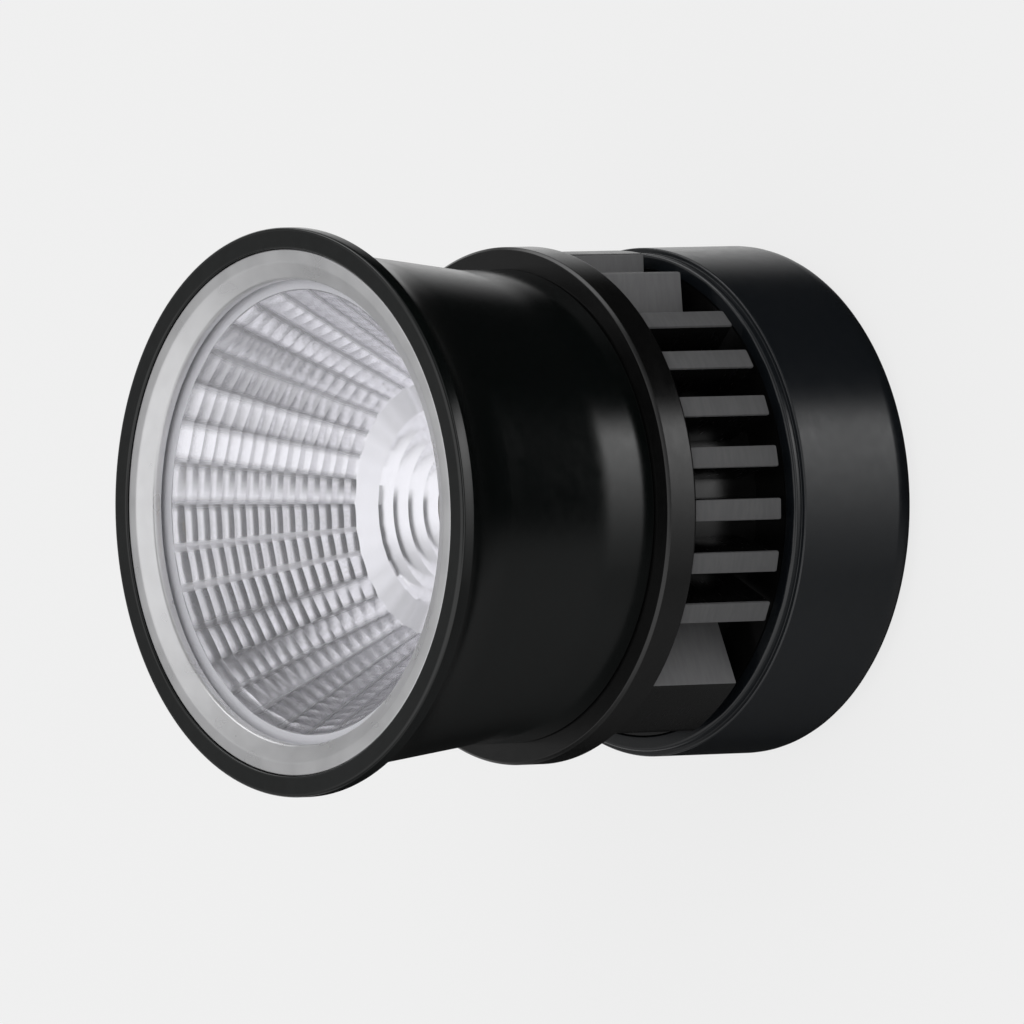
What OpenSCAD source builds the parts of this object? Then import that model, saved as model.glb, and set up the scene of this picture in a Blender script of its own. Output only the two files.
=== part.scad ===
// Round LED module: a flanged barrel with a faceted reflector over a chip-on-board light source,
// a finned heat sink, and a rear cap that holds the driver.
// The rear face stands on Z = 0 and the light leaves along +Z.

/* [Front barrel] */
// Outside diameter of the front flange
flange_d = 50; // [48:0.1:54]
// Thickness of the flange rim
flange_t = 1.3; // [0.8:0.1:1.8]
// Length of the concave flare behind the rim
flare_len = 6.2; // [4:0.1:9]
// How far the flange stands out from the barrel's neck
flare_w = 2.55; // [1.8:0.05:2.8]
// How much the barrel narrows from its neck to its rear band, on the radius
barrel_taper = 1.5; // [1:0.05:2.3]
// Wall of the barrel round its thread
thread_wall = 2.35; // [1.5:0.05:2.7]
// Length of the barrel
barrel_len = 24.65; // [22:0.05:34]
// Length of the straight band at the barrel's rear end
barrel_band = 5.2; // [2:0.1:8]
// Bevel of the barrel's rear edge
barrel_end_bevel = 0.5; // [0.1:0.05:0.8]
// Length of the straight threaded bore
thread_len = 4.15; // [2.5:0.05:6]

/* [Optics] */
// Width of the flange's front face
flange_w = 1.85; // [1.4:0.05:2.3]
// Step from the mouth in to the seat of the cover glass
seat_step = 0.95; // [0.5:0.05:1.3]
// Height of the retaining ring
bezel_h = 1.6; // [1:0.1:2.6]
// How far the retaining ring lies below the flange face
bezel_recess = 0.2; // [0:0.05:0.6]
// How far the retaining ring laps over the cover glass
bezel_lap = 1.8; // [0.5:0.05:2]
// Thickness of the retaining ring at its inner edge
bezel_edge = 0.8; // [0.2:0.05:1.5]
// Width of the retaining ring's flat front, before it slopes in
bezel_land = 1.1; // [0.2:0.05:1.2]
// Thickness of the cover glass
glass_t = 0.5; // [0.4:0.1:1.5]
// Thickness of the reflector's rim
rim_t = 1; // [0.6:0.1:1.6]
// Width of the reflector's rim round the faceted bowl
rim_w = 2.65; // [2:0.05:3.5]
// Width across the bottom of the faceted bowl
bowl_end_d = 22.6; // [20:0.1:26]
// Width across the top of the throat
throat_d = 17.8; // [15:0.1:19]
// Width across the bottom of the throat
throat_end_d = 9.8; // [8:0.1:14]
// Height of the throat
throat_h = 3.6; // [2.5:0.1:5]
// Height of the smooth shoulder between throat and bowl
shoulder_h = 0.75; // [0.5:0.05:2.5]
// Wall of the reflector, measured along its radius
reflector_wall = 1.2; // [0.8:0.1:1.5]
// Facets around the reflector
facet_columns = 32; // [24:1:48]
// Angle of the first line between two columns of facets
facet_turn = -3; // [-6:0.5:6]
// Rows of facets in the bowl
bowl_rows = 15; // [8:1:20]
// Rows of facets in the throat
throat_rows = 4; // [1:1:6]
// Depth of the hollow of each facet
facet_relief = 0.12; // [0.04:0.01:0.25]

/* [Light source] */
// Side of the square board
board_side = 19; // [17:0.1:20]
// Thickness of the board
board_t = 1; // [0.6:0.1:1.6]
// Thickness of the thermal pad
pad_t = 0.2; // [0.1:0.05:0.5]
// Diameter of the light-emitting area
phosphor_d = 9.6; // [7:0.1:13]
// Thickness of the phosphor
phosphor_t = 0.4; // [0.2:0.05:0.5]
// Width of the dam around the phosphor
dam_w = 0.6; // [0.4:0.1:1]
// Height of the dam
dam_h = 0.5; // [0.3:0.05:0.8]
// Height of the board's holder
holder_h = 3.3; // [2.8:0.1:3.8]
// Distance of the holder's screws beyond the edge of the board
holder_screw_out = 3.4; // [3:0.1:3.8]
// Rim of the holder beyond its screws
holder_rim = 3.1; // [2.6:0.1:3.4]

/* [Heat sink] */
// How far the front ring stands out from the barrel's rear end
ring_step = 1.95; // [1.5:0.05:3]
// Thickness of the front ring
ring_t = 3.15; // [2:0.05:5]
// Bevel of the ring's front edge
ring_bevel = 0.25; // [0.1:0.05:1]
// Depth of the fins from their tips to the core
fin_depth = 5.75; // [4:0.05:6.5]
// Length of the core, from the rear cap to the front ring
core_len = 11.65; // [9:0.05:18]
// How far the fins lie below the front ring
fin_step = 0.45; // [0:0.05:1.2]
// Thickness of a fin
fin_t = 1.9; // [1:0.1:2.4]
// Fins in each of the two windows
fins_per_window = 7; // [3:1:8]
// Angle between fins
fin_pitch = 12; // [10:0.5:13]
// Gap between the fins and the rear cap
fin_gap = 1.75; // [0.5:0.05:3]
// Angle of each window
window_angle = 112; // [108:0.1:130]
// Angle of the middle of the pillars
pillar_turn = 9.7; // [0:0.1:30]
// How far the pillars lie below the front ring
pillar_step = 0.5; // [0:0.05:0.8]
// Angle of a pillar's first flank to its middle
first_flank = -6; // [-15:0.5:5]
// Angle of a pillar's second flank to its middle
second_flank = 14; // [5:0.5:30]
// Depth of the flat along a pillar
flat_depth = 2.1; // [2.05:0.05:3.2]
// Angle of the flat to the pillar's middle
flat_turn = -9.7; // [-15:0.1:15]
// Width of the rib that stands on the flat of one pillar
rib_w = 8.2; // [6:0.1:10]
// Height of the threaded spigot
spigot_h = 2.05; // [1.5:0.05:4]
// Thickness of the plug in the mouth of the rear cap
plug_t = 1.65; // [1:0.05:3]

/* [Rear cap] */
// How far the rear cap lies below the heat sink's front ring
cap_step = 0.3; // [0:0.05:1]
// Side wall of the rear cap
cap_wall = 1.8; // [1.2:0.1:2.2]
// Floor of the rear cap
cap_floor = 2; // [1.8:0.1:2.5]
// Rounding of the rear edge
cap_edge_r = 2.6; // [0.5:0.1:3]
// Height of the lip at the mouth
lip_h = 0.8; // [0.4:0.1:1.5]
// Step from the side in to the lip
lip_step = 0.45; // [0.2:0.05:0.8]
// Radius of the screw posts
post_r = 3; // [2.6:0.1:3.3]
// Gap between a screw post and the side wall
post_gap = 0.6; // [0.3:0.1:1]
// Width of the ledge that carries the driver board
ledge_w = 1.5; // [1:0.1:2]
// Height of the ledge above the floor
ledge_h = 2; // [1.8:0.1:3]
// Direction of the cable inlet
inlet_angle = -45; // [-60:1:-30]
// Distance of the cable inlet from the axis
inlet_r = 12.5; // [11.5:0.1:13]
// Radius of the passage for the supply cable
inlet_bore_r = 2.5; // [1.5:0.1:2.8]
// Wall of the cable grommet
grommet_wall = 1.45; // [1:0.05:1.6]
// Width of the grommet's outer flange
grommet_flange = 1.1; // [0.6:0.1:1.5]

/* [Driver] */
// Thickness of the driver board
pcb_t = 1.2; // [0.8:0.1:1.6]
// Clear height above the driver board
driver_room = 6.7; // [6.2:0.1:14]
// Thickness of the insulation disc
insulation_t = 0.5; // [0.3:0.1:1]
// Radius of a lead wire with its insulation
wire_r = 0.6; // [0.4:0.05:0.7]
// Distance of the wire holes in from the edge of the core
wire_inset = 3.8; // [3:0.1:4.5]
// Bend of a lead wire at its middle
wire_bend_r = 1.5; // [1.2:0.1:1.7]
// Diameter of the driver's capacitors
capacitor_d = 5.2; // [4:0.1:5.8]
// Length of the driver's capacitors
capacitor_len = 9; // [7:0.1:10]
// Length of the transformer's core
transformer_len = 9; // [7:0.1:10]
// Width of the transformer's core
transformer_w = 8.6; // [7:0.1:10]
// Gap above the transformer
transformer_gap = 0.9; // [0.4:0.1:2]

/* [Fasteners] */
// Radius of the cap screws
cap_screw_r = 1.5; // [1.2:0.1:1.6]
// How deep the cap screws bite into the heat sink
cap_screw_bite = 3.75; // [2.5:0.05:6]
// Radius of the holder screws
holder_screw_r = 1.25; // [1:0.05:1.3]
// How deep the holder screws bite into the heat sink
holder_screw_bite = 3.2; // [2:0.1:5]

/* [Clearances] */
// Gap round a piece that drops into a seat
seat_gap = 0.1; // [0.05:0.05:0.15]
// Gap round a screw, a wire or a post
hole_gap = 0.2; // [0.1:0.05:0.3]
// Gap between the throat and the light source below it
throat_gap = 0.15; // [0.1:0.05:0.4]

/* [Hidden] */
$fn = 96;
cut = 0.5;

// Heights up the axis
pcb_z = cap_floor + ledge_h;
pcb_top = pcb_z + pcb_t;
insulation_z = pcb_top + driver_room;
plug_z = insulation_z + insulation_t;
cap_front = plug_z + plug_t;
fin_z = cap_front + fin_gap;
ring_z = cap_front + core_len;
root_z = ring_z + ring_t / 2; // pillars and fins end inside the ring
ring_front = ring_z + ring_t;
spigot_top = ring_front + spigot_h;
board_z = spigot_top + pad_t;
board_top = board_z + board_t;
holder_top = spigot_top + holder_h;
throat_z = board_top + dam_h + throat_gap;
throat_top = throat_z + throat_h;
bowl_z = throat_top + shoulder_h;
front_z = ring_front + barrel_len;
bezel_top = front_z - bezel_recess;
glass_top = bezel_top - bezel_h;
glass_z = glass_top - glass_t;
rim_z = glass_z - rim_t;

// Radii of the barrel and the optics, from the flange inwards
flange_r = flange_d / 2;
neck_r = flange_r - flare_w;
barrel_end_r = neck_r - barrel_taper;
thread_bore_r = barrel_end_r - thread_wall;
thread_r = thread_bore_r - seat_gap;
mouth_r = flange_r - flange_w;
seat_r = mouth_r - seat_step + seat_gap;
glass_r = mouth_r - seat_step;
bezel_r = mouth_r - seat_gap / 2;
bezel_inner_r = glass_r - bezel_lap;
bowl_r = glass_r - rim_w;
bowl_end_r = bowl_end_d / 2;
throat_r = throat_d / 2;
throat_end_r = throat_end_d / 2;
front_bore_r = bowl_r + reflector_wall;

// The flare is an arc that leaves the barrel's cone smoothly and ends at the rim
flare_z = front_z - flange_t - flare_len;
neck_point = [neck_r, flare_z];
cone_start = [barrel_end_r, ring_front + barrel_band];
cone_run = neck_point - cone_start;
cone_normal = [cone_run.y, -cone_run.x] / norm(cone_run);
rim_corner = [flange_r, front_z - flange_t];
flare_chord = rim_corner - neck_point;
flare_r = flare_chord * flare_chord / (2 * flare_chord * cone_normal);
flare_centre = neck_point + flare_r * cone_normal;

// Radii of the heat sink and the rear cap
ring_r = barrel_end_r + ring_step;
fin_r = ring_r - fin_step;
core_r = fin_r - fin_depth;
pillar_r = ring_r - pillar_step;
cap_r = ring_r - cap_step;
cap_inner_r = cap_r - cap_wall;
plug_r = cap_inner_r - seat_gap;
screw_ring_r = cap_inner_r - post_gap - post_r;
wire_ring_r = core_r - wire_inset;
wire_hole_r = wire_r + 1.5 * hole_gap;
pcb_r = cap_inner_r - 3 * hole_gap;
insulation_r = pcb_r - hole_gap;
wire_run_z = board_top + wire_r;
wire_end = board_side / 2 - wire_r;
grommet_r = inlet_bore_r + grommet_wall;
inlet_hole_r = grommet_r + seat_gap / 2;
grommet_flange_r = grommet_r + grommet_flange;
grommet_flange_t = 0.7;
grommet_seat_t = 0.8;
inlet_x = inlet_r * cos(inlet_angle);
inlet_y = inlet_r * sin(inlet_angle);
flank_len = 1.5 * fin_depth;

// Fasteners
cap_head_r = 1.9 * cap_screw_r;
cap_head_h = cap_head_r - cap_screw_r;
cap_head_z = 0.15;
cap_screw_len = plug_z + cap_screw_bite - cap_head_z;
holder_screw_x = board_side / 2 + holder_screw_out;
holder_r = holder_screw_x + holder_rim;
holder_head_r = 1.75 * holder_screw_r;
holder_head_h = 1.2 * holder_screw_r;
holder_head_z = holder_top - holder_head_h;
holder_screw_len = holder_head_z - spigot_top + holder_screw_bite;
hex_share = 0.55;

// Bodies of the driver's parts
transformer_h = driver_room - transformer_gap;
bridge_size = [4.7, 3.4, 1.6];
chip_size = [4.9, 3.4, 1.5];
film_size = [7.5, 3.8, 5.2];
fuse_r = 1.1;
fuse_len = 5;
fuse_leg_r = 0.3;
fuse_leg_out = 1;

// Places on the driver board, as shares of its radius
capacitor_x = 0.45 * pcb_r;
capacitor_y = 0.5 * pcb_r;
part_x = 0.52 * pcb_r;
part_y = 0.09 * pcb_r;
film_x = -0.45 * pcb_r;
film_y = -0.5 * pcb_r;
fuse_y = -0.42 * pcb_r;

function mix(a, b, share) = a + (b - a) * share;

// Radius of the throat's outer wall at a height
function throat_outside(z) =
    mix(throat_end_r, throat_r, (z - throat_z) / throat_h) + reflector_wall;

// Rings of a faceted stretch: every second ring lies deeper, so that each row is hollow
function facet_rings(r0, z0, r1, z1, rows) = [
    for (i = [0 : 2 * rows])
        [mix(r0, r1, i / (2 * rows)) + (i % 2) * facet_relief, mix(z0, z1, i / (2 * rows))]
];

// Copies its children on both sides of the axis
module both_sides() {
    for (turn = [0, 180])
        rotate(turn)
            children();
}

// Places its children at the two screw posts
module at_posts() {
    rotate(pillar_turn)
        both_sides()
            translate([screw_ring_r, 0])
                children();
}

// Holes for the two lead wires through a slab
module wire_holes(z0, z1) {
    both_sides()
        translate([0, wire_ring_r, z0 - cut])
            cylinder(r = wire_hole_r, h = z1 - z0 + 2 * cut);
}

module barrel() {
    color("#141414")
        rotate_extrude()
            difference() {
                polygon([
                    [thread_bore_r, ring_front],
                    [barrel_end_r - barrel_end_bevel, ring_front],
                    [barrel_end_r, ring_front + barrel_end_bevel],
                    cone_start,
                    neck_point,
                    [flange_r, flare_z],
                    [flange_r, front_z],
                    [mouth_r, front_z],
                    [mouth_r, glass_top],
                    [seat_r, glass_top],
                    [seat_r, rim_z],
                    [front_bore_r, rim_z],
                    [thread_bore_r, ring_front + thread_len]
                ]);
                translate(flare_centre)
                    circle(r = flare_r);
            }
}

module retaining_ring() {
    color("#dfe2e2")
        rotate_extrude()
            polygon([
                [bezel_inner_r, glass_top],
                [bezel_r, glass_top],
                [bezel_r, bezel_top],
                [bezel_r - bezel_land, bezel_top],
                [bezel_inner_r, glass_top + bezel_edge]
            ]);
}

module cover_glass() {
    color("#cfe0e6", 0.4)
        translate([0, 0, glass_z])
            cylinder(r = glass_r, h = glass_t);
}

// Closed ring of facets: up the inside, over the rim and down the outside
module reflector() {
    bowl_at_rim_r = mix(bowl_r, bowl_end_r, rim_t / (glass_z - bowl_z));
    rings = concat(
        facet_rings(throat_end_r, throat_z, throat_r, throat_top, throat_rows),
        facet_rings(bowl_end_r, bowl_z, bowl_r, glass_z, bowl_rows),
        [
            [glass_r, glass_z],
            [glass_r, rim_z],
            [bowl_at_rim_r + reflector_wall, rim_z],
            [bowl_end_r + reflector_wall, bowl_z],
            [throat_r + reflector_wall, throat_top],
            [throat_end_r + reflector_wall, throat_z]
        ]
    );
    count = len(rings);
    points = [
        for (ring = rings)
            for (i = [0 : facet_columns - 1])
                let (turn = facet_turn + 360 * i / facet_columns)
                    [ring.x * cos(turn), ring.x * sin(turn), ring.y]
    ];
    faces = [
        for (j = [0 : count - 1])
            for (i = [0 : facet_columns - 1])
                let (next_j = (j + 1) % count, next_i = (i + 1) % facet_columns)
                    [
                        j * facet_columns + i,
                        j * facet_columns + next_i,
                        next_j * facet_columns + next_i,
                        next_j * facet_columns + i
                    ]
    ];
    color("#d8dadb")
        polyhedron(points, faces);
}

module cob_holder() {
    hole_r = throat_outside(holder_top) + hole_gap;
    pocket = board_side + 2 * hole_gap;
    slot_w = 2 * wire_hole_r;
    slot_top = wire_run_z + wire_hole_r;
    color("#f1f1ec")
        difference() {
            translate([0, 0, spigot_top])
                cylinder(r = holder_r, h = holder_h);
            translate([0, 0, spigot_top - cut])
                cylinder(r = hole_r, h = holder_h + 2 * cut);
            translate([-pocket / 2, -pocket / 2, spigot_top - cut])
                cube([pocket, pocket, pad_t + board_t + cut]);
            translate([-slot_w / 2, -holder_r - cut, spigot_top - cut])
                cube([slot_w, 2 * (holder_r + cut), slot_top - spigot_top + cut]);
            both_sides()
                translate([holder_screw_x, 0, spigot_top - cut])
                    cylinder(r = holder_screw_r + hole_gap, h = holder_h + 2 * cut);
            both_sides()
                translate([holder_screw_x, 0, holder_head_z])
                    cylinder(r = holder_head_r + hole_gap, h = holder_head_h + cut);
        }
}

module holder_screws() {
    color("#b9bcc0")
        both_sides()
            translate([holder_screw_x, 0, holder_head_z])
                difference() {
                    union() {
                        cylinder(r = holder_head_r, h = holder_head_h);
                        translate([0, 0, -holder_screw_len])
                            cylinder(r = holder_screw_r, h = holder_screw_len);
                    }
                    translate([0, 0, holder_head_h / 2])
                        cylinder(r = hex_share * holder_head_r, h = holder_head_h, $fn = 6);
                }
}

module led_board() {
    color("#c9cccf")
        translate([-board_side / 2, -board_side / 2, board_z])
            cube([board_side, board_side, board_t]);
}

module dam_ring() {
    color("#f5f3ea")
        translate([0, 0, board_top])
            difference() {
                cylinder(d = phosphor_d + 2 * dam_w, h = dam_h);
                translate([0, 0, -cut])
                    cylinder(d = phosphor_d, h = dam_h + 2 * cut);
            }
}

module phosphor_disc() {
    color("#e9c63c")
        translate([0, 0, board_top])
            cylinder(d = phosphor_d - seat_gap, h = phosphor_t);
}

module thermal_pad() {
    color("#8f9aa6")
        translate([-board_side / 2, -board_side / 2, spigot_top])
            cube([board_side, board_side, pad_t]);
}

// Pillar on the +X side: two flanks and a flat, with or without the rib
module pillar(ribbed) {
    half = 90 - window_angle / 2;
    corners = pillar_r * [[cos(half), -sin(half)], [cos(half), sin(half)]];
    first_way = [cos(first_flank), sin(first_flank)];
    second_way = [cos(second_flank), sin(second_flank)];
    translate([0, 0, fin_z])
        linear_extrude(root_z - fin_z)
            difference() {
                intersection() {
                    circle(r = pillar_r);
                    polygon([
                        [0, 0],
                        corners[0] - flank_len * first_way,
                        corners[0] + flank_len * first_way,
                        corners[1] + flank_len * second_way,
                        corners[1] - flank_len * second_way
                    ]);
                }
                rotate(flat_turn)
                    difference() {
                        translate([1.5 * pillar_r - flat_depth, 0])
                            square([pillar_r, 2 * pillar_r], center = true);
                        if (ribbed)
                            square([3 * pillar_r, rib_w], center = true);
                    }
            }
}

// Straight fins of one window, centred on +Y
module window_fins() {
    first = -fin_pitch * (fins_per_window - 1) / 2;
    intersection() {
        translate([0, 0, fin_z])
            cylinder(r = fin_r, h = root_z - fin_z);
        for (i = [0 : fins_per_window - 1])
            rotate(first + i * fin_pitch)
                translate([-fin_t / 2, core_r - fin_t, fin_z])
                    cube([fin_t, fin_r, root_z - fin_z]);
    }
}

module heat_sink() {
    color("#1a1a1a")
        difference() {
            union() {
                rotate_extrude()
                    polygon([
                        [0, plug_z],
                        [plug_r, plug_z],
                        [plug_r, cap_front],
                        [core_r, cap_front],
                        [core_r, ring_z],
                        [ring_r, ring_z],
                        [ring_r, ring_front - ring_bevel],
                        [ring_r - ring_bevel, ring_front],
                        [thread_r, ring_front],
                        [thread_r, spigot_top],
                        [0, spigot_top]
                    ]);
                rotate(pillar_turn)
                    pillar(true);
                rotate(pillar_turn + 180)
                    pillar(false);
                rotate(pillar_turn)
                    both_sides()
                        window_fins();
            }
            wire_holes(plug_z, spigot_top);
            at_posts()
                translate([0, 0, plug_z - cut])
                    cylinder(r = cap_screw_r + seat_gap, h = cap_screw_bite + hole_gap + cut);
            both_sides()
                translate([holder_screw_x, 0, spigot_top - holder_screw_bite - hole_gap])
                    cylinder(r = holder_screw_r + seat_gap, h = holder_screw_bite + hole_gap + cut);
        }
}

// Lead wire on the +Y side: up from the driver board, round a bend and in to the light source
module lead_wire() {
    rise = wire_run_z - wire_bend_r - pcb_top;
    translate([0, wire_ring_r, pcb_top])
        cylinder(r = wire_r, h = rise);
    translate([0, wire_ring_r - wire_bend_r, wire_run_z - wire_bend_r])
        rotate([90, 0, 90])
            rotate_extrude(angle = 90)
                translate([wire_bend_r, 0])
                    circle(r = wire_r);
    translate([0, wire_ring_r - wire_bend_r, wire_run_z])
        rotate([90, 0, 0])
            cylinder(r = wire_r, h = wire_ring_r - wire_bend_r - wire_end);
}

module lead_wire_positive() {
    color("#b3201c")
        lead_wire();
}

module lead_wire_negative() {
    color("#1d1d1f")
        rotate(180)
            lead_wire();
}

module insulation_disc() {
    color("#e6e2d2")
        difference() {
            translate([0, 0, insulation_z])
                cylinder(r = insulation_r, h = insulation_t);
            wire_holes(insulation_z, plug_z);
            at_posts()
                translate([0, 0, insulation_z - cut])
                    cylinder(r = post_r + hole_gap, h = insulation_t + 2 * cut);
        }
}

module driver_board() {
    color("#1f6b3a")
        difference() {
            translate([0, 0, pcb_z])
                cylinder(r = pcb_r, h = pcb_t);
            at_posts()
                translate([0, 0, pcb_z - cut])
                    cylinder(r = post_r + hole_gap, h = pcb_t + 2 * cut);
            translate([inlet_x, inlet_y, pcb_z - cut])
                cylinder(r = inlet_bore_r + 2 * hole_gap, h = pcb_t + 2 * cut);
        }
}

// Two side limbs and a yoke round the winding
module transformer_core() {
    limb = transformer_w / 5;
    color("#34363a")
        translate([-transformer_len / 2, -transformer_w / 2, pcb_top])
            difference() {
                cube([transformer_len, transformer_w, transformer_h]);
                translate([limb, limb, -cut])
                    cube([transformer_len - 2 * limb, transformer_w - 2 * limb, transformer_h + 2 * cut]);
            }
}

module transformer_winding() {
    limb = transformer_w / 5;
    color("#c98a2c")
        translate([limb + seat_gap - transformer_len / 2, limb + seat_gap - transformer_w / 2, pcb_top])
            cube([
                transformer_len - 2 * (limb + seat_gap),
                transformer_w - 2 * (limb + seat_gap),
                transformer_h
            ]);
}

// Can lying on the board, with its two legs bent down into it
module capacitor() {
    leg_r = capacitor_d / 18;
    lead_r = 0.8 * leg_r;
    leg_out = 4 * leg_r;
    centre_z = pcb_top + capacitor_d / 2;
    translate([-capacitor_len / 2, 0, centre_z])
        rotate([0, 90, 0])
            cylinder(d = capacitor_d, h = capacitor_len);
    for (side = [-1, 1])
        translate([-capacitor_len / 2 - leg_out, side * capacitor_d / 4, 0]) {
            translate([0, 0, pcb_top])
                cylinder(r = leg_r, h = capacitor_d / 2 + 2 * leg_r);
            translate([0, 0, centre_z])
                rotate([0, 90, 0])
                    cylinder(r = lead_r, h = leg_out + cut);
        }
}

module input_capacitor() {
    color("#22345c")
        translate([-capacitor_x, capacitor_y])
            capacitor();
}

module output_capacitor() {
    color("#2b2d31")
        translate([capacitor_x, capacitor_y])
            capacitor();
}

// Flat package with legs along two sides
module package(size, legs) {
    leg_w = size.x / (2.4 * legs);
    leg_out = size.y / 5;
    translate([-size.x / 2, -size.y / 2, pcb_top])
        cube(size);
    for (i = [0 : legs - 1])
        translate([size.x * ((i + 0.5) / legs - 0.5) - leg_w / 2, -size.y / 2 - leg_out, pcb_top])
            cube([leg_w, size.y + 2 * leg_out, size.z / 3]);
}

module bridge_rectifier() {
    color("#26272a")
        translate([-part_x, part_y])
            package(bridge_size, 2);
}

module driver_chip() {
    color("#202124")
        translate([part_x, part_y])
            package(chip_size, 4);
}

module fuse_resistor() {
    color("#3f7a55")
        translate([0, fuse_y, pcb_top + fuse_r]) {
            rotate([0, 90, 0])
                cylinder(r = fuse_r, h = fuse_len, center = true);
            rotate([0, 90, 0])
                cylinder(r = fuse_leg_r, h = fuse_len + 2 * fuse_leg_out, center = true);
            for (side = [-1, 1])
                translate([side * (fuse_len / 2 + fuse_leg_out), 0, -fuse_r])
                    cylinder(r = fuse_leg_r, h = fuse_r + fuse_leg_r);
        }
}

module film_capacitor() {
    color("#9c2b26")
        translate([film_x - film_size.x / 2, film_y - film_size.y / 2, pcb_top])
            cube(film_size);
}

module rear_cap() {
    post_h = plug_z - cap_floor;
    color("#151515")
        difference() {
            union() {
                rotate_extrude()
                    difference() {
                        union() {
                            square([cap_r - cap_edge_r, cap_front]);
                            translate([0, cap_edge_r])
                                square([cap_r - lip_step, cap_front - cap_edge_r]);
                            translate([0, cap_edge_r])
                                square([cap_r, cap_front - lip_h - cap_edge_r]);
                            translate([cap_r - cap_edge_r, cap_edge_r])
                                circle(r = cap_edge_r);
                        }
                        translate([0, cap_floor])
                            square([cap_inner_r - ledge_w, cap_front]);
                        translate([0, pcb_z])
                            square([cap_inner_r, cap_front]);
                    }
                at_posts()
                    translate([0, 0, cap_floor / 2])
                        cylinder(r = post_r, h = post_h + cap_floor / 2);
            }
            at_posts()
                translate([0, 0, -cut])
                    cylinder(r = cap_screw_r + hole_gap, h = plug_z + 2 * cut);
            at_posts()
                translate([0, 0, cap_head_z + seat_gap])
                    cylinder(r1 = cap_head_r + hole_gap, r2 = cap_screw_r + hole_gap, h = cap_head_h);
            at_posts()
                translate([0, 0, -cut])
                    cylinder(r = cap_head_r + hole_gap, h = cut + cap_head_z + seat_gap);
            translate([inlet_x, inlet_y, -cut])
                cylinder(r = inlet_hole_r, h = cap_floor + 2 * cut);
            translate([inlet_x, inlet_y, -cut])
                cylinder(r = grommet_flange_r + seat_gap, h = grommet_seat_t + cut);
        }
}

// Bush with an outer flange in the cap's floor and a snap collar inside
module cable_grommet() {
    collar_h = ledge_h - 4 * hole_gap;
    color("#1c1c1c")
        translate([inlet_x, inlet_y])
            rotate_extrude()
                polygon([
                    [inlet_bore_r, grommet_seat_t - grommet_flange_t],
                    [grommet_flange_r, grommet_seat_t - grommet_flange_t],
                    [grommet_flange_r, grommet_seat_t],
                    [grommet_r, grommet_seat_t],
                    [grommet_r, cap_floor],
                    [grommet_r + grommet_flange / 2, cap_floor],
                    [grommet_r, cap_floor + collar_h],
                    [inlet_bore_r, cap_floor + collar_h]
                ]);
}

module cap_screws() {
    color("#8d9094")
        at_posts()
            translate([0, 0, cap_head_z])
                difference() {
                    union() {
                        cylinder(r1 = cap_head_r, r2 = cap_screw_r, h = cap_head_h);
                        cylinder(r = cap_screw_r, h = cap_screw_len);
                    }
                    translate([0, 0, -cut])
                        cylinder(r = hex_share * cap_screw_r, h = cut + cap_head_h, $fn = 6);
                }
}

barrel();
retaining_ring();
cover_glass();
reflector();
cob_holder();
holder_screws();
led_board();
dam_ring();
phosphor_disc();
thermal_pad();
heat_sink();
lead_wire_positive();
lead_wire_negative();
insulation_disc();
driver_board();
transformer_core();
transformer_winding();
input_capacitor();
output_capacitor();
bridge_rectifier();
driver_chip();
fuse_resistor();
film_capacitor();
rear_cap();
cable_grommet();
cap_screws();
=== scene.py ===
import math

import bmesh
import bpy
from mathutils import Matrix, Vector


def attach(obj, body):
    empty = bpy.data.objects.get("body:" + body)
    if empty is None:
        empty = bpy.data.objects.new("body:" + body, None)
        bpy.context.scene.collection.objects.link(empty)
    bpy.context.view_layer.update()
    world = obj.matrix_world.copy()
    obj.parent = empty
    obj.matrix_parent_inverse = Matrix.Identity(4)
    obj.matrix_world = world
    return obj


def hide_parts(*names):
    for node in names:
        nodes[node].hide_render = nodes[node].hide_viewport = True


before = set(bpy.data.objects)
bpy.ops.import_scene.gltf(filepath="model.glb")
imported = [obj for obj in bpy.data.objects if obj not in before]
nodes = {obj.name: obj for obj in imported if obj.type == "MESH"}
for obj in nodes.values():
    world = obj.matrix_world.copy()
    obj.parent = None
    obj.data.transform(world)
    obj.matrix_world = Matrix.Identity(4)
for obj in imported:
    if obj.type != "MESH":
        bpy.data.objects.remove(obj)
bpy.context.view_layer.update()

mm = 0.001                                     # sizes below are in millimetres
bumpHeight = 0.2 * mm
scene = bpy.context.scene
print("frame loaded:", len(nodes), "nodes")


class Sock:                                    # a node's output that can stand in a sum
    def __init__(self, board, socket):
        self.board = board
        self.socket = socket

    def calc(self, operation, first, second):
        return self.board.node("ShaderNodeMath", {"operation": operation}, {0: first, 1: second})

    def __add__(self, other):
        return self.calc("ADD", self, other)

    def __radd__(self, other):
        return self.calc("ADD", other, self)

    def __sub__(self, other):
        return self.calc("SUBTRACT", self, other)

    def __rsub__(self, other):
        return self.calc("SUBTRACT", other, self)

    def __mul__(self, other):
        return self.calc("MULTIPLY", self, other)

    def __rmul__(self, other):
        return self.calc("MULTIPLY", other, self)

    def __truediv__(self, other):
        return self.calc("DIVIDE", self, other)

    def __rtruediv__(self, other):
        return self.calc("DIVIDE", other, self)

    def __pow__(self, other):
        return self.calc("POWER", self, other)


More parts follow.
